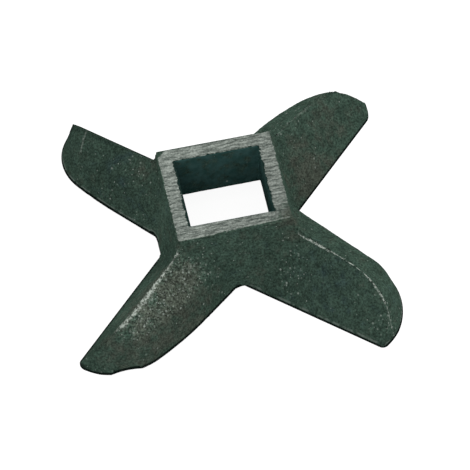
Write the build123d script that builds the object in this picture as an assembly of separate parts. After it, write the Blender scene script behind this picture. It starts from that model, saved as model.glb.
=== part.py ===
from build123d import *
from math import atan, cos, degrees, radians, sin, sqrt, tan
from typing import NamedTuple
import os

# A cast iron knife of a meat grinder: a square hub with a square drive hole, and four blades on the
# hub's diagonals. The knife lies on its cutting edges at z = 0, with its hub standing up along +Z and
# the hole on the Z axis. All lengths are in millimetres and all angles in degrees.

# Drive hole and hub
drive_square = 19.05
hub_top_side = 26.2
hub_top_height = 18.1
hub_draft = 10.1

# Underside of the hub and of the webs between the blades
web_underside_height = 1.6
recess_roof_side = 26.0
recess_depth = 5.5
recess_draft = 17.0

# Plan of a blade, in its own frame: x runs out along the blade, y points to its trailing side
edge_offset_at_axis = 10.3
edge_toe_in = 2.14
back_toe_in = 5.7

# Cross section of a blade: level distances over which its faces climb to the height of the hub's top
rake_run = 12.2
wall_run = 5.53
crown_run = 25.85
crown_edge_radius = 5.0

# Spine of a blade, seen from the side: it falls straight and then curves down over the nose
spine_fall = 9.5
nose_radius = 15.6
nose_end_slope = 60.0

# Ground land along each cutting edge, and the relief behind it
land_width = 6.0
relief_slope = 5.8

# Rounding of the valleys between the hub and the blades
valley_radius = 4.2


class Blade(NamedTuple):
    """Sizes in which the blades differ: they are rough castings, ground and worn unevenly."""
    tip_x: float
    tip_radius: float
    shoulder_x: float
    shoulder_y: float
    back_offset_at_axis: float
    back_straight_end_x: float
    spine_straight_end_x: float
    spine_drop_at_hub_corner: float


# The four blades, counter-clockwise from the one at first_blade_angle
first_blade_angle = 45.0
first_blade = Blade(
    tip_x=47.7, tip_radius=3.0, shoulder_x=37.2, shoulder_y=5.3,
    back_offset_at_axis=12.3, back_straight_end_x=22.5,
    spine_straight_end_x=33.2, spine_drop_at_hub_corner=3.6)
second_blade = Blade(
    tip_x=46.5, tip_radius=1.5, shoulder_x=36.5, shoulder_y=7.1,
    back_offset_at_axis=11.5, back_straight_end_x=25.2,
    spine_straight_end_x=33.9, spine_drop_at_hub_corner=3.3)
third_blade = Blade(
    tip_x=48.5, tip_radius=2.1, shoulder_x=38.0, shoulder_y=7.0,
    back_offset_at_axis=12.3, back_straight_end_x=24.0,
    spine_straight_end_x=35.1, spine_drop_at_hub_corner=3.1)
fourth_blade = Blade(
    tip_x=47.6, tip_radius=1.5, shoulder_x=42.7, shoulder_y=5.9,
    back_offset_at_axis=12.9, back_straight_end_x=34.3,
    spine_straight_end_x=35.1, spine_drop_at_hub_corner=2.9)
blades = [first_blade, second_blade, third_blade, fourth_blade]

# Chip in the end of the third blade, in its own frame
chip_x = 54.1
chip_y = 11.6
chip_radius = 14.0

# Room left round the model by the solids that trim it
margin = 10.0
reach = max(blade.tip_x for blade in blades) + margin

# Faces whose slopes differ by less than this are taken as one kind of face
same_slope = 0.02

os.makedirs("parts", exist_ok=True)

rake_slope = degrees(atan(hub_top_height / rake_run))
wall_draft = degrees(atan(wall_run / hub_top_height))
crown_slope = degrees(atan(hub_top_height / crown_run))

down = Vector(0, 0, -1)
along_edge = Vector(cos(radians(edge_toe_in)), sin(radians(edge_toe_in)), 0)
across_edge = Vector(-along_edge.Y, along_edge.X, 0)


def tip_of(blade):
    y = blade.tip_x * tan(radians(edge_toe_in)) - edge_offset_at_axis
    return Vector(blade.tip_x, y, 0)


def blade_plan(blade):
    """Outline of a blade at the cutting plane."""
    back_end_x = blade.back_straight_end_x
    back_end_y = blade.back_offset_at_axis - back_end_x * tan(radians(back_toe_in))
    back_direction = (cos(radians(back_toe_in)), -sin(radians(back_toe_in)))
    lead_root = (0, -edge_offset_at_axis)
    back_root = (0, blade.back_offset_at_axis)
    back_end = (back_end_x, back_end_y)
    shoulder = (blade.shoulder_x, blade.shoulder_y)
    edge = Line(lead_root, tip_of(blade))
    shoulder_arc = TangentArc(back_end, shoulder, tangent=back_direction)
    end_arc = TangentArc(shoulder, tip_of(blade), tangent=shoulder_arc % 1)
    back = Line(back_end, back_root)
    root = Line(back_root, lead_root)
    return make_face([edge, end_arc, shoulder_arc, back, root])


def drafted_blade(blade, depth):
    """The plan as a block with drafted walls, from z = -depth up past the hub."""
    growth = depth * tan(radians(wall_draft))
    foot = offset(blade_plan(blade), growth, kind=Kind.INTERSECTION)
    return extrude(Pos(0, 0, -depth) * foot, amount=depth + hub_top_height, taper=wall_draft)


def half_space(origin, normal):
    """Block on the side of a plane that its normal points to. The plane runs along the cutting edge."""
    side = Plane(origin=origin, x_dir=along_edge, z_dir=normal)
    return side * Box(4 * reach, 4 * reach, 2 * reach, align=(Align.CENTER, Align.CENTER, Align.MIN))


def above_rake():
    normal = down * -cos(radians(rake_slope)) - across_edge * sin(radians(rake_slope))
    return half_space((0, -edge_offset_at_axis, 0), normal)


def below_relief():
    normal = down * cos(radians(relief_slope)) + across_edge * sin(radians(relief_slope))
    return half_space((0, land_width - edge_offset_at_axis, 0), normal)


def spine_profile(blade):
    """Side view of a blade under its spine."""
    fall_to_corner = hub_top_side / sqrt(2) * tan(radians(spine_fall))
    height_at_axis = hub_top_height - blade.spine_drop_at_hub_corner + fall_to_corner
    straight_end_x = blade.spine_straight_end_x
    straight_end = (straight_end_x, height_at_axis - straight_end_x * tan(radians(spine_fall)))
    direction = (cos(radians(spine_fall)), -sin(radians(spine_fall)))
    nose = JernArc(straight_end, direction, nose_radius, spine_fall - nose_end_slope)
    nose_tip = nose @ 1
    foot = nose_tip + (nose % 1) * ((nose_tip.Y + 2 * margin) / sin(radians(nose_end_slope)))
    top = (0, height_at_axis)
    bottom = (0, foot.Y)
    spine = Line(top, straight_end)
    end = Line(nose_tip, foot)
    return make_face([spine, nose, end, Line(foot, bottom), Line(bottom, top)])


def crown(blade):
    """Body under the back of a blade: the side view of the spine, run out down the slope of the back."""
    down_the_back = Vector(0, cos(radians(crown_slope)), -sin(radians(crown_slope)))
    start = Pos(down_the_back * -reach) * (Plane.XZ * spine_profile(blade))
    return extrude(start, amount=2 * reach, dir=down_the_back)


def rise(face):
    """Upward part of a face's outward normal: 0 on an upright face and 1 on a level one."""
    return face.normal_at().Z


def is_blade_wall(face):
    return abs(rise(face) - sin(radians(wall_draft))) < same_slope


def is_rake(face):
    return abs(rise(face) - cos(radians(rake_slope))) < same_slope and face.normal_at().Y < 0


def is_crown(face):
    return rise(face) > sin(radians(wall_draft)) + same_slope and not is_rake(face)


def is_hub_wall(face):
    return abs(rise(face) - sin(radians(hub_draft))) < same_slope


def is_leading_hub_wall(face):
    return is_hub_wall(face) and face.normal_at().Y < 0


def is_trailing_hub_wall(face):
    return is_hub_wall(face) and face.normal_at().Y > 0


def is_back(face):
    steeper_than_top = rise(face) < 1 - same_slope
    return rise(face) > sin(radians(hub_draft)) + same_slope and steeper_than_top and face.normal_at().Y > 0


def shared_edges(body, is_first, is_second):
    """Edges of a body between a face of one kind and a face of another kind."""
    first = [edge for face in body.faces() if is_first(face) for edge in face.edges()]
    second = [edge for face in body.faces() if is_second(face) for edge in face.edges()]
    return [edge for edge in first if any(edge.is_same(other) for other in second)]


def rough_blade(blade, depth):
    """A blade with its rake, crown and shoulder, carried on down below the cutting plane by depth."""
    body = drafted_blade(blade, depth) & crown(blade)
    body = body - above_rake()
    return fillet(shared_edges(body, is_crown, is_blade_wall), crown_edge_radius)


def hub(depth):
    """The hub turned to the blade's frame, with a corner to the blade, carried on down by depth."""
    foot_side = hub_top_side + 2 * (hub_top_height + depth) * tan(radians(hub_draft))
    foot = Pos(0, 0, -depth) * Rot(0, 0, 45) * Rectangle(foot_side, foot_side)
    return extrude(foot, amount=hub_top_height + depth, taper=hub_draft)


def hub_with_blade(blade):
    """Hub and one blade down to the underside of the webs, with the valleys between them rounded."""
    body = hub(margin) + rough_blade(blade, margin)
    valleys = shared_edges(body, is_leading_hub_wall, is_rake)
    valleys = valleys + shared_edges(body, is_trailing_hub_wall, is_back)
    body = fillet(valleys, valley_radius)
    return body - half_space((0, 0, web_underside_height), down)


def foot_of_blade(blade):
    """A blade down to its ground land, with the relief behind the land."""
    body = rough_blade(blade, margin)
    body = body - half_space((0, 0, 0), down)
    return body - below_relief()


def worn_tip(blade):
    """What is gone from the corner of a blade between its cutting edge and its end."""
    tip = tip_of(blade)
    corner = blade_plan(blade).vertices().sort_by_distance(tip)[0]
    rounded = fillet(corner, blade.tip_radius)
    block = Pos(tip) * Rectangle(4 * blade.tip_radius, 4 * blade.tip_radius)
    return extrude(Pos(0, 0, -margin) * (block - rounded), amount=hub_top_height + margin)


def chip():
    """What is gone from the end of the third blade."""
    return extrude(Pos(chip_x, chip_y, -margin) * Circle(chip_radius), amount=hub_top_height + margin)


def knife():
    step = 360 / len(blades)
    turns = [Rot(0, 0, first_blade_angle + index * step) for index in range(len(blades))]
    upper = [turn * hub_with_blade(blade) for turn, blade in zip(turns, blades)]
    lower = [turn * foot_of_blade(blade) for turn, blade in zip(turns, blades)]
    body = upper[0]
    for piece in upper[1:] + lower:
        body = body + piece
    for turn, blade in zip(turns, blades):
        body = body - turn * worn_tip(blade)
    body = body - turns[blades.index(third_blade)] * chip()
    drive_hole = Pos(0, 0, -margin) * Rectangle(drive_square, drive_square)
    body = body - extrude(drive_hole, amount=hub_top_height + 2 * margin)
    recess_foot_side = recess_roof_side + 2 * (recess_depth + margin) * tan(radians(recess_draft))
    recess = Pos(0, 0, -margin) * Rectangle(recess_foot_side, recess_foot_side)
    return body - extrude(recess, amount=recess_depth + margin, taper=recess_draft)


cross_knife = knife()
export_step(cross_knife, "parts/cross_knife.step")
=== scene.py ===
# The cast iron knife of a meat grinder, with a square hub and four blades, dressed as in the photograph
import math
from typing import NamedTuple

import bmesh
import bpy
import numpy as np
from mathutils import Matrix, Vector, noise
from mathutils.bvhtree import BVHTree
from mathutils.kdtree import KDTree


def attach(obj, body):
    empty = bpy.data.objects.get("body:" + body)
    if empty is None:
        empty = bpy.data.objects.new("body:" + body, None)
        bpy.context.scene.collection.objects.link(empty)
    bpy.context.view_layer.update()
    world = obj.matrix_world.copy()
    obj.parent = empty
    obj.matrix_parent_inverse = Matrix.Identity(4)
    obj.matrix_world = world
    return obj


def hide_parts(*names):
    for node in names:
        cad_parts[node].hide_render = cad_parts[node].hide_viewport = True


# A millimetre, in the frame's metres
MM = 0.001

# Camera, as fitted to the photograph, in degrees, metres and pixels
CAMERA_AZIMUTH = 7.8
CAMERA_ELEVATION = 51.95
CAMERA_ROLL = 4.5
CAMERA_DISTANCE = 2.941
CAMERA_CLIP_END = 20.0
PIXELS_PER_MM = 4.444
PHOTO_SIDE = 470
ORIGIN_PIXEL = (228.2, 235.7)

# Width of the camera's sensor, in millimetres
SENSOR_WIDTH = 36.0

# Mesh of the casting, with lengths in metres
VOXEL = 0.34 * MM
SNAP_SHARE = 1.0
SHARP_ANGLE = math.radians(25.0)
EDGE_STEP = 0.05 * MM
WELD_DISTANCE = 0.001 * MM
LEAST_AGREEMENT = 0.3
LEAST_LENGTH = 1e-9

# The knife's own sizes that the looks go by, in millimetres
HUB_TOP = 18.1
HOLE_HALF = 19.05 / 2
RING_HALF = 26.2 / 2
EDGE_OFFSET = 10.3
EDGE_TOE_IN = math.radians(2.14)
LAND_WIDTH = 6.0
RELIEF_SLOPE = math.radians(5.8)
WEB_UNDERSIDE = 1.6
WEB_RADIUS = 17.5

# Directions of the four blades, in degrees
FIRST_BLADE = 45.0
SECOND_BLADE = 135.0
THIRD_BLADE = 225.0
FOURTH_BLADE = 315.0
BLADES = (FIRST_BLADE, SECOND_BLADE, THIRD_BLADE, FOURTH_BLADE)


class Ridge(NamedTuple):
    """Ridge of the blade that points at angle, in millimetres. From start to end it is worn bare and carries
    a painted highlight, and past bend_start it bends towards the cutting edge."""
    angle: float
    start: float
    end: float
    bend_start: float
    bend: float
    half_width: float
    bare_and_highlight_share: float


RIDGES = (
    Ridge(angle=FIRST_BLADE, start=21.0, end=34.0, bend_start=22.0, bend=0.007, half_width=0.15, bare_and_highlight_share=0.16),
    Ridge(angle=SECOND_BLADE, start=20.0, end=36.0, bend_start=34.0, bend=0.020, half_width=0.20, bare_and_highlight_share=0.0),
    Ridge(angle=THIRD_BLADE, start=19.2, end=42.0, bend_start=33.0, bend=0.020, half_width=0.38, bare_and_highlight_share=0.95),
    Ridge(angle=FOURTH_BLADE, start=19.9, end=46.3, bend_start=33.0, bend=0.021, half_width=0.14, bare_and_highlight_share=0.95),
)


class Mark(NamedTuple):
    """Pale line between two places seen from above, in millimetres."""
    start: tuple
    end: tuple
    half_width: float
    strength: float


MARKS = (
    # The first two marks are a painted highlight along the edge at the second blade's tip
    Mark(start=(-26.3, 28.2), end=(-27.4, 26.9), half_width=0.22, strength=0.40),
    Mark(start=(-27.4, 26.9), end=(-28.6, 24.4), half_width=0.22, strength=0.32),
    Mark(start=(4.5, -12.35), end=(12.3, -11.95), half_width=0.16, strength=0.60),
    Mark(start=(-12.9, -13.0), end=(-5.0, -12.9), half_width=0.20, strength=0.55),
)

# Tides of colour on the cast skin: place, radius and amount, above 0 for brown and below 0 for blue
TIDES = (
    ((17.6, -21.3), 4.5, -0.45),
    ((20.5, -29.0), 4.5, -0.35),
    ((-19.1, 9.1), 4.0, -0.6),
    ((-21.7, 17.7), 4.0, -0.5),
    ((22.7, 12.7), 5.0, 0.8),
    ((19.5, 8.3), 4.0, 0.7),
    ((28.2, 21.9), 4.0, 0.5),
    ((-19.0, -23.4), 8.0, 0.9),
    ((-26.0, -29.0), 5.0, 0.5),
    ((-13.0, -19.5), 5.0, 0.6),
    ((-33.0, -29.5), 3.0, 0.6),
    ((-16.9, 11.4), 3.0, 0.8),
    ((12.5, -11.5), 3.0, 0.9),
)

# Painted light and shade: spots where the skin is painted lighter, above 0, or darker, below 0, on single
# faces: place, radius and amount
PAINTED_LIGHT_AND_SHADE_SPOTS = (
    ((-23.0, 19.0), 9.0, -0.18),
    ((-15.0, 0.0), 4.5, 0.28),
    ((17.0, 22.0), 5.5, 0.20),
    ((33.0, -32.0), 5.0, 0.14),
    ((-1.0, -15.0), 5.0, 0.09),
    ((-21.0, -12.5), 5.0, 0.45),
    ((-28.0, -20.0), 5.0, 0.45),
)

# Crowds of bright specks with painted glints: place, radius and amount
CROWDS = (
    ((11.5, -18.2), 2.6, 0.9),
    ((29.0, -36.0), 3.0, 0.5),
    ((-18.0, 13.0), 5.0, 0.25),
    ((-8.0, -16.5), 4.0, 0.5),
    ((16.0, 17.0), 4.0, 0.25),
)


def camera_axes():
    """Right, up and back of the camera, in the frame."""
    azimuth = math.radians(CAMERA_AZIMUTH)
    elevation = math.radians(CAMERA_ELEVATION)
    roll = math.radians(CAMERA_ROLL)
    right = Vector((math.cos(azimuth), -math.sin(azimuth), 0.0))
    back = Vector((-math.sin(azimuth) * math.cos(elevation),
                   -math.cos(azimuth) * math.cos(elevation),
                   math.sin(elevation)))
    up = back.cross(right)
    rolled_right = right * math.cos(roll) - up * math.sin(roll)
    rolled_up = right * math.sin(roll) + up * math.cos(roll)
    return rolled_right, rolled_up, back


def add_camera():
    right, up, back = camera_axes()
    middle = PHOTO_SIDE / 2
    mm_right = (middle - ORIGIN_PIXEL[0]) / PIXELS_PER_MM
    mm_up = (ORIGIN_PIXEL[1] - middle) / PIXELS_PER_MM
    aim = (right * mm_right + up * mm_up) * MM
    place = aim + back * CAMERA_DISTANCE
    data = bpy.data.cameras.new("camera")
    data.sensor_width = SENSOR_WIDTH
    data.lens = SENSOR_WIDTH * CAMERA_DISTANCE / (PHOTO_SIDE / PIXELS_PER_MM * MM)
    data.clip_end = CAMERA_CLIP_END
    camera = bpy.data.objects.new("camera", data)
    bpy.context.scene.collection.objects.link(camera)
    turn = Matrix((right, up, back)).transposed().to_4x4()
    camera.matrix_world = Matrix.Translation(place) @ turn
    bpy.context.scene.camera = camera


class Lamp(NamedTuple):
    """Round lamp that shines on the origin, with its distance and size in metres."""
    name: str
    direction: tuple
    distance: float
    size: float
    watts: float
    colour: tuple


KEY = Lamp(name="key", direction=(0.75, 0.55, 0.9), distance=1.2, size=0.7, watts=5.2,
           colour=(1.0, 0.97, 0.95))
FILL = Lamp(name="fill", direction=(-0.35, -1.1, 0.65), distance=1.4, size=0.9, watts=3.2,
            colour=(0.98, 0.98, 1.0))


def add_lamp(lamp):
    data = bpy.data.lights.new(lamp.name, "AREA")
    data.shape = "DISK"
    data.size = lamp.size
    data.energy = lamp.watts
    data.color = lamp.colour
    holder = bpy.data.objects.new(lamp.name, data)
    bpy.context.scene.collection.objects.link(holder)
    direction = Vector(lamp.direction).normalized()
    holder.location = direction * lamp.distance
    holder.rotation_euler = direction.to_track_quat("Z", "Y").to_euler()


def rgb(red, green, blue):
    return (red, green, blue, 1.0)


class Noise(NamedTuple):
    """How often a noise swings per millimetre, how many finer layers it has and how strong they are."""
    per_mm: float
    layers: float
    layer_strength: float


# Places of a mix node's two inputs and its output, for each kind of value
MIX_SOCKETS = {
    "FLOAT": (2, 3, 0),
    "VECTOR": (4, 5, 1),
    "RGBA": (6, 7, 2),
}


class Nodes:
    """Short calls that add shader nodes to one node tree."""

    def __init__(self, tree):
        self.tree = tree
        tree.nodes.clear()

    def add(self, kind, **settings):
        node = self.tree.nodes.new(kind)
        for name, value in settings.items():
            setattr(node, name, value)
        return node

    def plug(self, socket, value):
        """Links a socket to another node's output, or sets it to a plain value."""
        if isinstance(value, bpy.types.NodeSocket):
            self.tree.links.new(value, socket)
        else:
            socket.default_value = value

    def math(self, operation, *values):
        node = self.add("ShaderNodeMath", operation=operation)
        for socket, value in zip(node.inputs, values):
            self.plug(socket, value)
        return node.outputs[0]

    def fold(self, operation, values):
        """An operation on two values, carried on over all of them."""
        result = values[0]
        for value in values[1:]:
            result = self.math(operation, result, value)
        return result

    def total(self, *values):
        return self.fold("ADD", values)

    def product(self, *values):
        return self.fold("MULTIPLY", values)

    def least(self, *values):
        return self.fold("MINIMUM", values)

    def most(self, *values):
        return self.fold("MAXIMUM", values)

    def negative(self, value):
        return self.product(value, -1.0)

    def absolute(self, value):
        return self.math("ABSOLUTE", value)

    def attribute(self, name):
        return self.add("ShaderNodeAttribute", attribute_name=name).outputs["Fac"]

    def noise(self, place, sort):
        node = self.add("ShaderNodeTexNoise")
        self.plug(node.inputs["Vector"], place)
        self.plug(node.inputs["Scale"], sort.per_mm)
        self.plug(node.inputs["Detail"], sort.layers)
        self.plug(node.inputs["Roughness"], sort.layer_strength)
        return node.outputs[0]

    def cells(self, place, per_mm):
        """Two random values of each cell, and the distance to the cell's centre."""
        node = self.add("ShaderNodeTexVoronoi")
        self.plug(node.inputs["Vector"], place)
        self.plug(node.inputs["Scale"], per_mm)
        split = self.add("ShaderNodeSeparateColor")
        self.plug(split.inputs[0], node.outputs["Color"])
        return split.outputs[0], split.outputs[1], node.outputs["Distance"]

    def step(self, value, zero_at, one_at):
        """0 at zero_at and before it, 1 at one_at and past it, and smooth between them."""
        node = self.add("ShaderNodeMapRange", interpolation_type="SMOOTHSTEP")
        self.plug(node.inputs["Value"], value)
        self.plug(node.inputs["From Min"], zero_at)
        self.plug(node.inputs["From Max"], one_at)
        return node.outputs[0]

    def stretch(self, value, low, high):
        """Value from 0 to 1 stretched to run from low to high."""
        node = self.add("ShaderNodeMapRange")
        self.plug(node.inputs["Value"], value)
        self.plug(node.inputs["To Min"], low)
        self.plug(node.inputs["To Max"], high)
        return node.outputs[0]

    def mix_kind(self, kind, share, first, second):
        first_place, second_place, result_place = MIX_SOCKETS[kind]
        node = self.add("ShaderNodeMix", data_type=kind)
        self.plug(node.inputs[0], share)
        self.plug(node.inputs[first_place], first)
        self.plug(node.inputs[second_place], second)
        return node.outputs[result_place]

    def mix(self, share, first, second):
        """First colour, with a share of the second."""
        return self.mix_kind("RGBA", share, first, second)

    def mix_value(self, share, first, second):
        return self.mix_kind("FLOAT", share, first, second)

    def mix_vector(self, share, first, second):
        return self.mix_kind("VECTOR", share, first, second)

    def scaled(self, vector, factor):
        """A place or a colour times a factor."""
        node = self.add("ShaderNodeVectorMath", operation="SCALE")
        self.plug(node.inputs[0], vector)
        self.plug(node.inputs["Scale"], factor)
        return node.outputs[0]

    def split(self, vector):
        node = self.add("ShaderNodeSeparateXYZ")
        self.plug(node.inputs[0], vector)
        return node.outputs

    def joined(self, x, y, z):
        node = self.add("ShaderNodeCombineXYZ")
        for socket, value in zip(node.inputs, (x, y, z)):
            self.plug(socket, value)
        return node.outputs[0]

    def bump(self, height, distance, strength):
        node = self.add("ShaderNodeBump")
        self.plug(node.inputs["Height"], height)
        self.plug(node.inputs["Distance"], distance)
        self.plug(node.inputs["Strength"], strength)
        return node.outputs[0]


# Noises that several parts of the material use, and the ranges in which they show
GRAINS = Noise(per_mm=2.1, layers=2.0, layer_strength=0.65)
BLOTCHES = Noise(per_mm=0.50, layers=3.0, layer_strength=0.6)
RAGGEDNESS = Noise(per_mm=0.95, layers=3.0, layer_strength=0.65)
RAGGED_RANGE = (-2.0, 2.0)
GRAIN_RANGE = (0.30, 0.70)
BLOTCH_RANGE = (0.3, 0.7)


class Skin:
    """What the parts of the casting's material share: place in millimetres, facing, and noises."""

    def __init__(self, nodes):
        self.nodes = nodes
        place = nodes.add("ShaderNodeTexCoord").outputs["Object"]
        self.mm = nodes.scaled(place, 1 / MM)
        self.x, self.y, self.z = nodes.split(self.mm)
        geometry = nodes.add("ShaderNodeNewGeometry")
        self.up = nodes.split(geometry.outputs["True Normal"])[2]
        self.grains = nodes.noise(self.mm, GRAINS)
        self.blotches = nodes.noise(self.mm, BLOTCHES)
        self.ragged = nodes.stretch(nodes.noise(self.mm, RAGGEDNESS), *RAGGED_RANGE)

    def out_and_left(self, degrees):
        """Distance out along the direction at that angle, and to its left."""
        nodes = self.nodes
        turn = math.radians(degrees)
        out = nodes.total(nodes.product(self.x, math.cos(turn)), nodes.product(self.y, math.sin(turn)))
        left = nodes.total(nodes.product(self.y, math.cos(turn)), nodes.product(self.x, -math.sin(turn)))
        return out, left


# Cast skin: its colours, the tide that turns it brown or blue, and how grains and blotches shade it
GREEN_SKIN = rgb(0.043, 0.074, 0.056)
BROWN_SKIN = rgb(0.061, 0.074, 0.058)
BLUE_SKIN = rgb(0.036, 0.063, 0.061)
TIDE = Noise(per_mm=0.36, layers=4.0, layer_strength=0.65)
TIDE_RANGE = (-1.5, 1.5)
BROWN_TIDE = (0.0, 1.1)
BLUE_TIDE = (-0.1, -1.2)
EVEN_SHADES = (0.58, 1.45)
ROUGH_GRAIN_RANGE = (0.33, 0.68)
ROUGH_SHADES = (0.45, 2.05)
BLOTCH_SHADES = (0.80, 1.18)


def cast_colour(skin):
    """Rough skin of the casting: dark green, with brown and blue tides, and light and dark grains, made
    lighter or darker in spots by painted light and shade.
    """
    nodes = skin.nodes
    tide = nodes.total(nodes.attribute("tide"), nodes.stretch(nodes.noise(skin.mm, TIDE), *TIDE_RANGE))
    colour = nodes.mix(nodes.step(tide, *BROWN_TIDE), GREEN_SKIN, BROWN_SKIN)
    colour = nodes.mix(nodes.step(tide, *BLUE_TIDE), colour, BLUE_SKIN)
    even = nodes.stretch(nodes.step(skin.grains, *GRAIN_RANGE), *EVEN_SHADES)
    rough = nodes.stretch(nodes.step(skin.grains, *ROUGH_GRAIN_RANGE), *ROUGH_SHADES)
    grains = nodes.mix_value(nodes.attribute("rough_patch"), even, rough)
    blotches = nodes.stretch(nodes.step(skin.blotches, *BLOTCH_RANGE), *BLOTCH_SHADES)
    # The shade attribute carries the spots of painted light and shade
    return nodes.scaled(colour, nodes.product(nodes.product(grains, blotches), nodes.attribute("shade")))


# Bright specks, painted glints on the grains: cells per millimetre and least chance of each size, and what
# makes them more frequent
SPECK_SIZES = ((1.45, 0.985), (2.5, 0.975))
PAINTED_GLINT_COLOUR = rgb(0.33, 0.38, 0.34)
PAINTED_GLINT_SHARE = 0.80
SPECK_GLINTS = (0.25, 1.0)
SPECK_EDGE = (0.52, 0.22)
CHANCE_FADE = 0.03
DRIFT = Noise(per_mm=0.22, layers=2.0, layer_strength=0.6)
DRIFT_RANGE = (0.45, 0.75)
DRIFT_CHANCE = 0.03
ROUGH_PATCH_CHANCE = 0.24
CROWD_CHANCE = 0.20


def painted_glint_specks(skin, cells_per_mm, least_chance):
    """Bright specks of painted glints on the grains, thick where the skin is rough."""
    nodes = skin.nodes
    pick, glint, distance = nodes.cells(skin.mm, cells_per_mm)
    drift = nodes.product(nodes.step(nodes.noise(skin.mm, DRIFT), *DRIFT_RANGE), DRIFT_CHANCE)
    rough = nodes.product(nodes.attribute("rough_patch"), ROUGH_PATCH_CHANCE)
    crowd = nodes.product(nodes.attribute("crowd"), CROWD_CHANCE)
    chance = nodes.total(pick, nodes.total(drift, rough, crowd))
    chosen = nodes.step(chance, least_chance, least_chance + CHANCE_FADE)
    return nodes.product(chosen, nodes.step(distance, *SPECK_EDGE), nodes.stretch(glint, *SPECK_GLINTS))


# Painted highlights on the worn bare ridges: colour, wobble and soft edges in half widths, fades at the ends
# in millimetres, and dashes
BARE_RIDGE_PAINTED_HIGHLIGHT_COLOUR = rgb(0.52, 0.58, 0.52)
RIDGE_WOBBLE = 1.1
RIDGE_OUTER = 1.6
RIDGE_INNER = 0.5
RIDGE_START_FADE = 0.5
RIDGE_BEYOND_END = 1.5
RIDGE_BEFORE_END = 2.5
DASHES = Noise(per_mm=1.7, layers=2.0, layer_strength=0.6)
DASH_RANGE = (0.40, 0.60)
DASH_SHARES = (0.10, 1.0)


def bare_ridge_painted_highlight(skin, ridge):
    """Share of the painted highlight on the worn bare metal along a blade's ridge, in dashes."""
    nodes = skin.nodes
    out, left = skin.out_and_left(ridge.angle)
    past = nodes.most(nodes.total(out, -ridge.bend_start), 0.0)
    wobble = nodes.product(skin.ragged, ridge.half_width * RIDGE_WOBBLE)
    across = nodes.absolute(nodes.total(left, nodes.product(past, past, ridge.bend), wobble))
    on_line = nodes.step(across, ridge.half_width * RIDGE_OUTER, ridge.half_width * RIDGE_INNER)
    begun = nodes.step(out, ridge.start - RIDGE_START_FADE, ridge.start + RIDGE_START_FADE)
    not_over = nodes.step(out, ridge.end + RIDGE_BEYOND_END, ridge.end - RIDGE_BEFORE_END)
    dashes = nodes.stretch(nodes.step(nodes.noise(skin.mm, DASHES), *DASH_RANGE), *DASH_SHARES)
    return nodes.product(on_line, begun, not_over, dashes, ridge.bare_and_highlight_share)


# Pale marks: colour, wobble in millimetres, soft edges in half widths, dashes, and the faces they are on
MARK_COLOUR = rgb(0.36, 0.40, 0.36)
MARK_WOBBLE = 0.15
MARK_OUTER = 1.7
MARK_INNER = 0.5
MARK_DASH_RANGE = (0.40, 0.60)
MARK_DASH_SHARES = (0.30, 1.0)
MARK_FACING = (0.3, 0.5)


def pale_mark(skin, mark):
    """Share of a pale mark on the faces that look up."""
    nodes = skin.nodes
    run_x = mark.end[0] - mark.start[0]
    run_y = mark.end[1] - mark.start[1]
    length = math.hypot(run_x, run_y)
    cosine = run_x / length
    sine = run_y / length
    from_x = nodes.total(skin.x, -mark.start[0])
    from_y = nodes.total(skin.y, -mark.start[1])
    wobble = nodes.product(skin.ragged, MARK_WOBBLE)
    out = nodes.total(nodes.product(from_x, cosine), nodes.product(from_y, sine))
    left = nodes.total(nodes.product(from_y, cosine), nodes.product(from_x, -sine), wobble)
    beyond = nodes.most(nodes.total(out, -length), nodes.negative(out), 0.0)
    distance = nodes.most(nodes.absolute(left), beyond)
    on_line = nodes.step(distance, mark.half_width * MARK_OUTER, mark.half_width * MARK_INNER)
    dashes = nodes.stretch(nodes.step(skin.grains, *MARK_DASH_RANGE), *MARK_DASH_SHARES)
    return nodes.product(on_line, dashes, nodes.step(skin.up, *MARK_FACING), mark.strength)


# Painted shade along the foot of the third blade's leading face: ranges out, to the left and up in
# millimetres, and share
FOOT_OUT = (14.0, 16.0)
FOOT_LEFT = (-5.0, -7.0)
FOOT_HEIGHT = (1.7, 1.0)
FOOT_SHARE = 0.70


def painted_shade_foot(skin):
    """Share of painted shade along the cutting edge of the third blade's leading face."""
    nodes = skin.nodes
    out, left = skin.out_and_left(THIRD_BLADE)
    along_edge = nodes.step(out, *FOOT_OUT)
    leading = nodes.step(left, *FOOT_LEFT)
    low = nodes.step(skin.z, *FOOT_HEIGHT)
    return nodes.product(along_edge, leading, low, FOOT_SHARE)


# Painted shade and highlight lines along the bottom edges: heights in millimetres, lower on faces that look
# up, facings and shares
LINE_LOWERING = 0.9
PAINTED_SHADE_LINE_COLOUR = rgb(0.004, 0.007, 0.006)
PAINTED_SHADE_LINE_HEIGHT = (1.03, 0.81)
PAINTED_SHADE_LINE_FACING = (-0.5, -0.1)
PAINTED_SHADE_LINE_SHARE = 0.95
PAINTED_HIGHLIGHT_LINE_COLOUR = rgb(0.26, 0.30, 0.27)
PALE_LINE_BOTTOM = (0.90, 1.05)
PALE_LINE_TOP = (1.50, 1.25)
PALE_LINE_QUARTERS = (0.0, -20.0)
PALE_LINE_BLOTCHES = (0.40, 0.54)
PALE_LINE_FACING = (0.1, 0.2)
PAINTED_HIGHLIGHT_LINE_SHARE = 0.34


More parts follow.
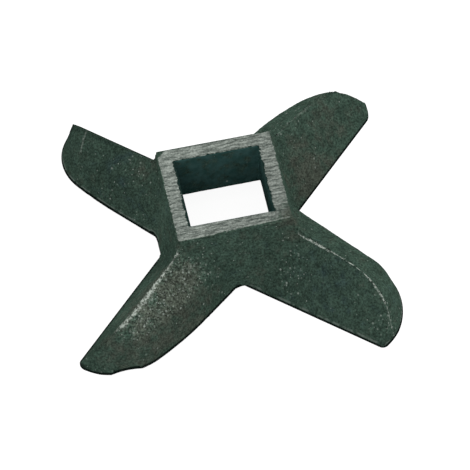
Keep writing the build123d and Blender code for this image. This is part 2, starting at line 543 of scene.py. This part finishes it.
def with_edges(skin, colour):
    """The colour, with a line of painted shade along the bottom edges, and on the second and fourth blades a
    line of painted highlight above it."""
    nodes = skin.nodes
    height = nodes.total(nodes.attribute("above_edge"), nodes.product(skin.up, LINE_LOWERING))
    two_blades = nodes.step(nodes.product(skin.x, skin.y), *PALE_LINE_QUARTERS)
    over_bottom = nodes.step(height, *PALE_LINE_BOTTOM)
    under_top = nodes.step(height, *PALE_LINE_TOP)
    blotches = nodes.step(skin.blotches, *PALE_LINE_BLOTCHES)
    sloping = nodes.step(skin.up, *PALE_LINE_FACING)
    # Painted highlight: a pale line just above the bottom edge, on sloping faces
    painted_highlight = nodes.product(over_bottom, under_top, two_blades, blotches, PAINTED_HIGHLIGHT_LINE_SHARE, sloping)
    colour = nodes.mix(painted_highlight, colour, PAINTED_HIGHLIGHT_LINE_COLOUR)
    not_underneath = nodes.step(skin.up, *PAINTED_SHADE_LINE_FACING)
    # Painted shade: a near-black line along the bottom edges
    painted_shade = nodes.product(nodes.step(height, *PAINTED_SHADE_LINE_HEIGHT), not_underneath, PAINTED_SHADE_LINE_SHARE)
    return nodes.mix(nodes.most(painted_shade, painted_shade_foot(skin)), colour, PAINTED_SHADE_LINE_COLOUR)


# Painted shade on the leading face of the second blade: ranges out, to the left and up in millimetres,
# facing and share
PAINTED_RAKE_SHADE_COLOUR = rgb(0.008, 0.015, 0.012)
PAINTED_RAKE_SHADE_OUT = (10.0, 19.0)
PAINTED_RAKE_SHADE_LEFT = (0.1, -0.5)
PAINTED_RAKE_SHADE_FACING = (0.70, 0.62)
PAINTED_RAKE_SHADE_HEIGHT = (16.0, 3.0)
PAINTED_RAKE_SHADE_SHARE = 0.62


def with_painted_rake_shade(skin, colour):
    """The colour, made dark by painted shade on the leading face of the second blade."""
    nodes = skin.nodes
    out, left = skin.out_and_left(SECOND_BLADE)
    along_edge = nodes.step(out, *PAINTED_RAKE_SHADE_OUT)
    leading = nodes.step(left, *PAINTED_RAKE_SHADE_LEFT)
    steep = nodes.step(skin.up, *PAINTED_RAKE_SHADE_FACING)
    low = nodes.step(skin.z, *PAINTED_RAKE_SHADE_HEIGHT)
    # Painted shade on the second blade's leading face
    rake_shade = nodes.product(along_edge, leading, steep, low, PAINTED_RAKE_SHADE_SHARE)
    return nodes.mix(rake_shade, colour, PAINTED_RAKE_SHADE_COLOUR)


# Ground metal: its colours, grinding lines with their wave, scores between them, and brightness, with
# painted shade that darkens it to the right and the near side
DULL_METAL = rgb(0.100, 0.122, 0.108)
BRIGHT_METAL = rgb(0.345, 0.385, 0.350)
SCORED_METAL = rgb(0.060, 0.078, 0.068)
WAVE = Noise(per_mm=0.55, layers=2.0, layer_strength=0.6)
WAVE_MIDDLE = 0.5
WAVE_HEIGHT = 0.8
LINES = Noise(per_mm=1.0, layers=4.0, layer_strength=0.70)
LINE_STRETCH_ALONG = 0.32
LINE_STRETCH_ACROSS = 1.9
LINE_RANGE = (0.36, 0.64)
SCORES = Noise(per_mm=1.7, layers=2.0, layer_strength=0.5)
SCORE_RANGE = (0.42, 0.34)
SCORE_SHARE = 0.55
METAL_SHADES = (0.68, 1.30)
METAL_BRIGHTNESS = 0.98
METAL_PAINTED_SHADE_TO_RIGHT = -0.008
METAL_PAINTED_LIGHT_TO_BACK = 0.004


def ground_metal(skin):
    """Colour of ground metal, and its grinding lines: along X, wavy, with dark scores and grains, and
    painted shade that darkens it to the right and the near side.
    """
    nodes = skin.nodes
    wave = nodes.product(nodes.total(nodes.noise(skin.mm, WAVE), -WAVE_MIDDLE), WAVE_HEIGHT)
    along = nodes.product(skin.x, LINE_STRETCH_ALONG)
    across = nodes.product(nodes.total(skin.y, wave), LINE_STRETCH_ACROSS)
    place = nodes.joined(along, across, skin.z)
    lines = nodes.noise(place, LINES)
    colour = nodes.mix(nodes.step(lines, *LINE_RANGE), DULL_METAL, BRIGHT_METAL)
    scores = nodes.step(nodes.noise(place, SCORES), *SCORE_RANGE)
    colour = nodes.mix(nodes.product(scores, SCORE_SHARE), colour, SCORED_METAL)
    # Painted shade: darker towards the right and the near side
    to_right = nodes.product(skin.x, METAL_PAINTED_SHADE_TO_RIGHT)
    to_back = nodes.product(skin.y, METAL_PAINTED_LIGHT_TO_BACK)
    painted_light = nodes.total(to_right, to_back, METAL_BRIGHTNESS)
    grains = nodes.stretch(nodes.step(skin.grains, *GRAIN_RANGE), *METAL_SHADES)
    return nodes.scaled(colour, nodes.product(grains, painted_light)), lines


# Level top of the hub, and the ground lands underneath: heights in millimetres and facings
HUB_TOP_HEIGHT = (HUB_TOP - 0.35, HUB_TOP - 0.12)
HUB_TOP_FACING = (0.7, 0.9)
LAND_HEIGHT = (0.10, 0.04)
LAND_FACING = (-0.80, -0.95)


def hub_top_share(skin):
    nodes = skin.nodes
    return nodes.product(nodes.step(skin.z, *HUB_TOP_HEIGHT), nodes.step(skin.up, *HUB_TOP_FACING))


def land_share(skin):
    nodes = skin.nodes
    return nodes.product(nodes.step(skin.z, *LAND_HEIGHT), nodes.step(skin.up, *LAND_FACING))


# Edges of the ground ring in millimetres, with its climbing near side, and how its worn corner fades
RING_NEAR_REACH = 12.75
RING_NEAR_CLIMB = 0.040
RING_CORNER_CUT = 1.8
RING_RAGGEDNESS = 0.30
RING_EDGE = (0.0, 0.26)
WORN_CORNER_RAGGEDNESS = 2.5
WORN_CORNER_GRAININESS = 3.0
WORN_CORNER_RANGE = (25.0, 20.0)
WORN_CORNER_SHARES = (0.12, 1.0)


def ring_share(skin, hub_top):
    """Share of ground metal on the hub's top. It fades out at the corner by the fourth blade."""
    nodes = skin.nodes
    right = nodes.total(nodes.negative(skin.x), RING_HALF)
    left = nodes.total(skin.x, RING_HALF)
    far = nodes.total(nodes.negative(skin.y), RING_HALF)
    near = nodes.total(skin.y, RING_NEAR_REACH, nodes.product(skin.x, -RING_NEAR_CLIMB))
    corner = nodes.product(nodes.total(left, far, -RING_CORNER_CUT), math.sqrt(0.5))
    nearest = nodes.least(right, left, far, near, corner)
    inside = nodes.total(nearest, nodes.product(skin.ragged, RING_RAGGEDNESS))
    ragged = nodes.product(skin.ragged, WORN_CORNER_RAGGEDNESS)
    grainy = nodes.product(skin.grains, WORN_CORNER_GRAININESS)
    to_corner = nodes.total(skin.x, nodes.negative(skin.y), ragged, grainy)
    left_over = nodes.stretch(nodes.step(to_corner, *WORN_CORNER_RANGE), *WORN_CORNER_SHARES)
    return nodes.product(nodes.step(inside, *RING_EDGE), hub_top, left_over)


# Drive hole: where its dark rim ends on each side in millimetres, its soft edges, and its colours
RIM_LEFT = 10.0
RIM_RIGHT = 9.74
RIM_NEAR = 9.50
RIM_FAR = 9.60
RIM_RAGGEDNESS = 0.45
RIM_EDGE = (0.16, -0.06)
RIM_COLOUR = rgb(0.012, 0.028, 0.024)
WALL_EDGE = (HOLE_HALF + 0.12, HOLE_HALF + 0.04)
DARK_WALL = rgb(0.028, 0.076, 0.068)
PALE_WALL = rgb(0.050, 0.112, 0.106)


def bore_shares(skin, hub_top):
    """Share of the drive hole's dark walls, and of the dark rim that they have in the ground ring."""
    nodes = skin.nodes
    walls = nodes.step(nodes.most(nodes.absolute(skin.x), nodes.absolute(skin.y)), *WALL_EDGE)
    left = nodes.total(nodes.negative(skin.x), -RIM_LEFT)
    right = nodes.total(skin.x, -RIM_RIGHT)
    near = nodes.total(nodes.negative(skin.y), -RIM_NEAR)
    far = nodes.total(skin.y, -RIM_FAR)
    outside = nodes.total(nodes.most(left, right, near, far), nodes.product(skin.ragged, -RIM_RAGGEDNESS))
    rim = nodes.product(nodes.step(outside, *RIM_EDGE), hub_top)
    return walls, rim


def wall_colour(skin):
    nodes = skin.nodes
    return nodes.mix(nodes.step(skin.blotches, *BLOTCH_RANGE), DARK_WALL, PALE_WALL)


# Pale speck on the hole's far wall: its place, its soft edge as squared distances, and its share
WALL_SPECK_X = 2.0
WALL_SPECK_Z = 7.4
WALL_SPECK_Y = (9.0, 9.3)
WALL_SPECK_SQUARES = (0.10, 0.03)
WALL_SPECK_SHARE = 0.6


def wall_speck(skin):
    """One pale speck on the far wall of the drive hole."""
    nodes = skin.nodes
    across = nodes.total(skin.x, -WALL_SPECK_X)
    rise = nodes.total(skin.z, -WALL_SPECK_Z)
    squares = nodes.total(nodes.product(across, across), nodes.product(rise, rise))
    on_wall = nodes.step(skin.y, *WALL_SPECK_Y)
    return nodes.product(nodes.step(squares, *WALL_SPECK_SQUARES), on_wall, WALL_SPECK_SHARE)


def worn_and_painted_light_colour(skin):
    """The cast skin with painted shade on the second blade's leading face, bright specks with painted
    glints, painted highlights on the worn bare ridges, and lines of painted shade and highlight along the
    edges.
    """
    nodes = skin.nodes
    painted_glints = nodes.most(*[painted_glint_specks(skin, *size) for size in SPECK_SIZES])
    bare_and_highlight_share = nodes.most(*[bare_ridge_painted_highlight(skin, ridge) for ridge in RIDGES if ridge.bare_and_highlight_share > 0.0])
    colour = with_painted_rake_shade(skin, cast_colour(skin))
    # Bright specks with painted glints
    colour = nodes.mix(nodes.product(painted_glints, PAINTED_GLINT_SHARE), colour, PAINTED_GLINT_COLOUR)
    # Painted highlight on the worn bare ridges
    colour = nodes.mix(bare_and_highlight_share, colour, BARE_RIDGE_PAINTED_HIGHLIGHT_COLOUR)
    return with_edges(skin, colour)


# Gloss and fine relief: roughness and metal, and each bump's depth in metres with its strength
CAST_ROUGHNESS = (0.80, 0.60)
GROUND_ROUGHNESS = 0.45
GROUND_METAL = (0.0, 0.5)
GRAIN_BUMP = (0.0004, 0.6)
LINE_BUMP = (0.00006, 0.5)


def iron_material():
    material = bpy.data.materials.new("cast_iron")
    material.use_nodes = True
    nodes = Nodes(material.node_tree)
    skin = Skin(nodes)

    hub_top = hub_top_share(skin)
    walls, rim = bore_shares(skin, hub_top)
    bore = nodes.most(walls, rim)
    ring = nodes.product(ring_share(skin, hub_top), nodes.total(1.0, nodes.negative(bore)))
    ground = nodes.most(ring, land_share(skin))
    marks = nodes.most(*[pale_mark(skin, mark) for mark in MARKS], wall_speck(skin))

    metal, lines = ground_metal(skin)
    colour = nodes.mix(walls, worn_and_painted_light_colour(skin), wall_colour(skin))
    colour = nodes.mix(rim, colour, RIM_COLOUR)
    colour = nodes.mix(ground, colour, metal)
    colour = nodes.mix(marks, colour, MARK_COLOUR)
    roughness = nodes.mix_value(ground, nodes.stretch(skin.grains, *CAST_ROUGHNESS), GROUND_ROUGHNESS)
    grain_bump = nodes.bump(skin.grains, *GRAIN_BUMP)
    line_bump = nodes.bump(lines, *LINE_BUMP)

    shader = nodes.add("ShaderNodeBsdfPrincipled")
    nodes.plug(shader.inputs["Base Color"], colour)
    nodes.plug(shader.inputs["Roughness"], roughness)
    nodes.plug(shader.inputs["Metallic"], nodes.stretch(ground, *GROUND_METAL))
    nodes.plug(shader.inputs["Specular IOR Level"], 0.0)
    nodes.plug(shader.inputs["Normal"], nodes.mix_vector(nodes.most(ground, bore), grain_bump, line_bump))
    output = nodes.add("ShaderNodeOutputMaterial")
    nodes.plug(output.inputs["Surface"], shader.outputs[0])
    return material


# White surroundings: how the sky lights and is seen, and the floor's size in metres and its whites
SKY_LIGHT = rgb(1.0, 1.0, 1.0)
SKY_LIGHT_STRENGTH = 0.67
SKY_SEEN = rgb(0.8, 0.8, 0.8)
SKY_SEEN_STRENGTH = 1.0
FLOOR_HALF_SIDE = 1.5
FLOOR_HEIGHT = -0.02 * MM
FLOOR_WHITE = 0.72
FLOOR_SEEN_GLOW = 0.93
FLOOR_SEEN_WHITE = 0.3


def white_material(name, white, seen_glow, seen_white):
    """Plain white for the light, and near white as the camera, gloss and glass see it."""
    material = bpy.data.materials.new(name)
    material.use_nodes = True
    nodes = Nodes(material.node_tree)
    rays = nodes.add("ShaderNodeLightPath").outputs
    seen = nodes.most(rays["Is Camera Ray"], rays["Is Glossy Ray"], rays["Is Transmission Ray"])
    plain = nodes.add("ShaderNodeBsdfDiffuse")
    nodes.plug(plain.inputs["Color"], rgb(white, white, white))
    shaded = nodes.add("ShaderNodeBsdfDiffuse")
    nodes.plug(shaded.inputs["Color"], rgb(seen_white, seen_white, seen_white))
    glow = nodes.add("ShaderNodeEmission")
    nodes.plug(glow.inputs["Strength"], seen_glow)
    both = nodes.add("ShaderNodeAddShader")
    nodes.plug(both.inputs[0], shaded.outputs[0])
    nodes.plug(both.inputs[1], glow.outputs[0])
    choice = nodes.add("ShaderNodeMixShader")
    nodes.plug(choice.inputs[0], seen)
    nodes.plug(choice.inputs[1], plain.outputs[0])
    nodes.plug(choice.inputs[2], both.outputs[0])
    output = nodes.add("ShaderNodeOutputMaterial")
    nodes.plug(output.inputs["Surface"], choice.outputs[0])
    return material


def sky(nodes, colour, strength):
    node = nodes.add("ShaderNodeBackground")
    nodes.plug(node.inputs["Color"], colour)
    nodes.plug(node.inputs["Strength"], strength)
    return node.outputs[0]


def set_world():
    world = bpy.data.worlds.new("world")
    bpy.context.scene.world = world
    world.use_nodes = True
    nodes = Nodes(world.node_tree)
    rays = nodes.add("ShaderNodeLightPath")
    choice = nodes.add("ShaderNodeMixShader")
    nodes.plug(choice.inputs[0], rays.outputs["Is Camera Ray"])
    nodes.plug(choice.inputs[1], sky(nodes, SKY_LIGHT, SKY_LIGHT_STRENGTH))
    nodes.plug(choice.inputs[2], sky(nodes, SKY_SEEN, SKY_SEEN_STRENGTH))
    output = nodes.add("ShaderNodeOutputWorld")
    nodes.plug(output.inputs["Surface"], choice.outputs[0])


def add_floor():
    side = FLOOR_HALF_SIDE
    mesh = bpy.data.meshes.new("floor")
    corners = [(-side, -side, 0), (side, -side, 0), (side, side, 0), (-side, side, 0)]
    mesh.from_pydata(corners, [], [(0, 1, 2, 3)])
    floor = bpy.data.objects.new("floor", mesh)
    bpy.context.scene.collection.objects.link(floor)
    floor.location.z = FLOOR_HEIGHT
    mesh.materials.append(white_material("floor_white", FLOOR_WHITE, FLOOR_SEEN_GLOW, FLOOR_SEEN_WHITE))


def sharp_edges(mesh):
    """Points along the sharp edges of a mesh, as a tree."""
    shape = bmesh.new()
    shape.from_mesh(mesh)
    bmesh.ops.remove_doubles(shape, verts=shape.verts, dist=WELD_DISTANCE)
    places = []
    for edge in shape.edges:
        if len(edge.link_faces) != 2 or edge.calc_face_angle(0.0) < SHARP_ANGLE:
            continue
        steps = max(1, int(edge.calc_length() / EDGE_STEP))
        start, end = (vertex.co for vertex in edge.verts)
        places += [start.lerp(end, step / steps) for step in range(steps + 1)]
    shape.free()
    tree = KDTree(len(places))
    for index, place in enumerate(places):
        tree.insert(place, index)
    tree.balance()
    return tree


def even_mesh(source, voxel):
    """The source's shape as a mesh of small even faces."""
    start = bpy.data.objects.new("casting_start", source.data.copy())
    bpy.context.scene.collection.objects.link(start)
    remesh = start.modifiers.new("remesh", "REMESH")
    remesh.mode = "VOXEL"
    remesh.voxel_size = voxel
    bpy.context.view_layer.update()
    evaluated = start.evaluated_get(bpy.context.evaluated_depsgraph_get())
    mesh = bpy.data.meshes.new_from_object(evaluated)
    bpy.data.objects.remove(start)
    return mesh


def fine_copy(source):
    """The node's shape as an even, dense mesh, with its points on the node's surface and sharp edges,
    and the normal of the node's face at each point."""
    voxel = VOXEL
    mesh = even_mesh(source, voxel)
    surface = BVHTree.FromPolygons([vertex.co for vertex in source.data.vertices],
                                   [face.vertices for face in source.data.polygons])
    edges = sharp_edges(source.data)
    face_normals = []
    for vertex in mesh.vertices:
        vertex.co = surface.find_nearest(vertex.co)[0]
        edge_place, _, distance = edges.find(vertex.co)
        if distance < SNAP_SHARE * voxel:
            vertex.co = edge_place
        face_normals.append(surface.find_nearest(vertex.co)[1])
    return mesh, np.array(face_normals)


def vertex_table(mesh, name):
    table = np.empty(len(mesh.vertices) * 3)
    mesh.vertices.foreach_get(name, table)
    return table.reshape(-1, 3)


def out_and_left(points, degrees):
    """Distance of each point out along the direction at that angle, and to its left."""
    turn = math.radians(degrees)
    out = points[:, 0] * math.cos(turn) + points[:, 1] * math.sin(turn)
    left = points[:, 1] * math.cos(turn) - points[:, 0] * math.sin(turn)
    return out, left


def smooth(values, zero_at, one_at):
    """0 at zero_at and before it, 1 at one_at and past it, and smooth between them."""
    share = np.clip((values - zero_at) / (one_at - zero_at), 0.0, 1.0)
    return share * share * (3.0 - 2.0 * share)


# Rough patch on the third blade's back: facing, ranges out and to the left in millimetres, and amounts
PATCH_FACING = (0.45, 0.7)
PATCH_START = (15.0, 20.0)
PATCH_SIDE = (-2.0, 0.0)
PATCH_BY_RIDGE = (0.5, 5.0)
PATCH_AMOUNT = 0.78
PATCH_RIDGE_AMOUNT = 0.22
PATCH_END = (39.0, 44.0)
PATCH_END_LOSS = 0.9


def rough_patches(points, normals):
    """How grainy the skin is: most on the back of the third blade, along its ridge."""
    out, left = out_and_left(points, THIRD_BLADE)
    facing = smooth(normals[:, 2], *PATCH_FACING)
    back = facing * smooth(out, *PATCH_START) * smooth(left, *PATCH_SIDE)
    by_ridge = PATCH_AMOUNT + PATCH_RIDGE_AMOUNT * (1.0 - smooth(left, *PATCH_BY_RIDGE))
    return back * by_ridge * (1.0 - PATCH_END_LOSS * smooth(out, *PATCH_END))


def spots(points, table):
    """Sum of the soft round spots in a table of place, radius and amount, seen from above."""
    total = np.zeros(len(points))
    for place, radius, amount in table:
        squares = (points[:, 0] - place[0]) ** 2 + (points[:, 1] - place[1]) ** 2
        total += amount * np.exp(-squares / radius ** 2)
    return total


def above_edge(points):
    """Height of each point over the bottom edge below it, which the relief lifts behind the lands."""
    height = np.zeros(len(points))
    for angle in BLADES:
        out, left = out_and_left(points, angle)
        behind_land = left - out * math.tan(EDGE_TOE_IN) + EDGE_OFFSET - LAND_WIDTH
        relief = np.clip(behind_land * math.tan(RELIEF_SLOPE), 0.0, WEB_UNDERSIDE)
        is_blade = out > np.abs(left)
        height = np.where(is_blade, relief, height)
        is_web = is_blade & (np.hypot(out, left) < WEB_RADIUS) & (left > -LAND_WIDTH)
        height = np.where(is_web, WEB_UNDERSIDE, height)
    return points[:, 2] - height


# Relief of the cast skin in millimetres: its depth, swells and bumps, and where it starts and ends
SINK = 0.06
SWELLS_PER_MM = 0.5
SWELL_FALL = 1.0
SWELL_STEP = 2.0
SWELL_LAYERS = 3
SWELL_HEIGHT = 0.05
BUMPS_PER_MM = 1.5
BUMP_HEIGHT = 0.04
PATCH_BUMP_HEIGHT = 0.06
SKIN_START = (0.1, 1.6)
SKIN_END = HUB_TOP - 0.1

# Rounding of the worn ridges, in millimetres
ROUNDING_REACH = 1.3
ROUNDING_DEPTH = 0.25
ROUNDING_START = (18.0, 20.0)


def ridge_rounding(points):
    """How far the worn ridges lie below sharp ones."""
    depth = np.zeros(len(points))
    for ridge in RIDGES:
        out, left = out_and_left(points, ridge.angle)
        past = np.maximum(out - ridge.bend_start, 0.0)
        across = np.abs(left + past * past * ridge.bend)
        share = np.clip(1.0 - across / ROUNDING_REACH, 0.0, 1.0)
        depth = np.maximum(depth, ROUNDING_DEPTH * share ** 2 * smooth(out, *ROUNDING_START))
    return depth


def grain_depth(point, patch):
    """How deep the cast skin lies at a place, where patch is its share of the rough patch."""
    swell = noise.fractal(point * SWELLS_PER_MM, SWELL_FALL, SWELL_STEP, SWELL_LAYERS)
    bump = noise.noise(point * BUMPS_PER_MM)
    bump_height = BUMP_HEIGHT + PATCH_BUMP_HEIGHT * patch
    return max(SINK + SWELL_HEIGHT * swell + bump_height * bump, 0.0)


def add_attribute(mesh, name, values):
    attribute = mesh.attributes.new(name, "FLOAT", "POINT")
    attribute.data.foreach_set("value", values.astype(np.float32))


def sound_normals(points, normals, face_normals):
    """Normals with one direction for all the points at the same place. Where crowded points spoil it,
    the face's own normal takes its place."""
    places, member = np.unique(points, axis=0, return_inverse=True)
    member = member.ravel()
    sums = np.zeros(places.shape)
    np.add.at(sums, member, normals)
    lengths = np.linalg.norm(sums, axis=1, keepdims=True)
    sound = (sums / np.maximum(lengths, LEAST_LENGTH))[member]
    spoilt = (sound * face_normals).sum(axis=1) < LEAST_AGREEMENT
    sound[spoilt] = face_normals[spoilt]
    return sound


def add_attributes(mesh, points, patches):
    """Gives each point of the mesh what the material goes by there."""
    add_attribute(mesh, "rough_patch", patches)
    add_attribute(mesh, "tide", spots(points, TIDES))
    add_attribute(mesh, "crowd", spots(points, CROWDS))
    add_attribute(mesh, "above_edge", above_edge(points))
    # Painted light and shade: spots that make single faces lighter or darker
    add_attribute(mesh, "shade", 1.0 + spots(points, PAINTED_LIGHT_AND_SHADE_SPOTS))


def cast_skin(mesh, face_normals):
    """Sinks the points of the cast faces by a little noise, and leaves ground faces and edges sharp."""
    mesh.update()
    points = vertex_table(mesh, "co") / MM
    normals = sound_normals(points, vertex_table(mesh, "normal"), face_normals)
    patches = rough_patches(points, normals)
    add_attributes(mesh, points, patches)
    share = smooth(points[:, 2], *SKIN_START) * (points[:, 2] < SKIN_END)
    rounding = ridge_rounding(points)
    for index in np.nonzero(share > 0.0)[0]:
        depth = grain_depth(Vector(points[index]), patches[index]) + rounding[index]
        points[index] -= normals[index] * depth * share[index]
    mesh.vertices.foreach_set("co", (points * MM).ravel())
    mesh.update()


def add_casting(node):
    mesh, face_normals = fine_copy(node)
    cast_skin(mesh, face_normals)
    mesh.materials.clear()
    mesh.materials.append(iron_material())
    mesh.shade_smooth()
    casting = bpy.data.objects.new("casting", mesh)
    bpy.context.scene.collection.objects.link(casting)
    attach(casting, "root")
    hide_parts("cross_knife")


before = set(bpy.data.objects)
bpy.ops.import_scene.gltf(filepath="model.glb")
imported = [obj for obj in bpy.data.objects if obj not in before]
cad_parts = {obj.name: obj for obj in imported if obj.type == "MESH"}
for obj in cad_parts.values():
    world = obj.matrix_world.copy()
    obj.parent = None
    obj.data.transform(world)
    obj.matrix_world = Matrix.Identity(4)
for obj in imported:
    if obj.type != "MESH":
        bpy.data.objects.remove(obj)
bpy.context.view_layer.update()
bpy.context.scene.view_settings.view_transform = "Standard"
add_camera()
set_world()
add_lamp(KEY)
add_lamp(FILL)
add_floor()
add_casting(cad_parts["cross_knife"])
